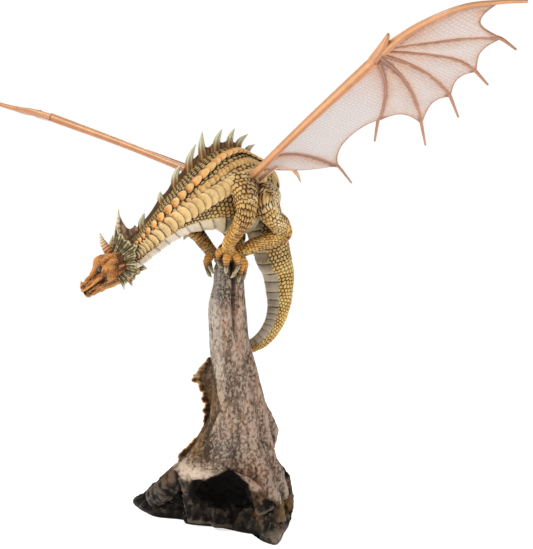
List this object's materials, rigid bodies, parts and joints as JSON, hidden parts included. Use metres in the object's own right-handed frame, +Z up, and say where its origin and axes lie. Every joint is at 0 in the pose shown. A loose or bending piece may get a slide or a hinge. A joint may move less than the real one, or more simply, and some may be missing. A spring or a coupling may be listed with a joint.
{
  "type": "dragon statue",
  "caption": "Winged dragon figure landing on a broken tree stump over a rock, with plug-in translucent wings and its own plinth.",
  "frame": {"origin": "on the underside, the face the statue stands on, below the stump's axis", "axes": "+Z up, -Y the way the dragon looks, +X the dragon's left and along the wing span"},
  "size_m": [0.8488, 0.2805, 0.5425],
  "materials": {
    "bark_and_rock": "painted cast resin stone, matt, dry-brushed pinkish grey over dark brown",
    "painted_scales": "hand-painted cast resin, satin, dark wash in the recesses and ochre, orange and cream highlights",
    "wing_plastic": "moulded translucent plastic, airbrushed orange-brown along the bones"
  },
  "bodies": {
    "root": {"plinth": "bark_and_rock", "dragon": "painted_scales", "wing_left": "wing_plastic", "wing_right": "wing_plastic"}
  },
  "joints": []
}
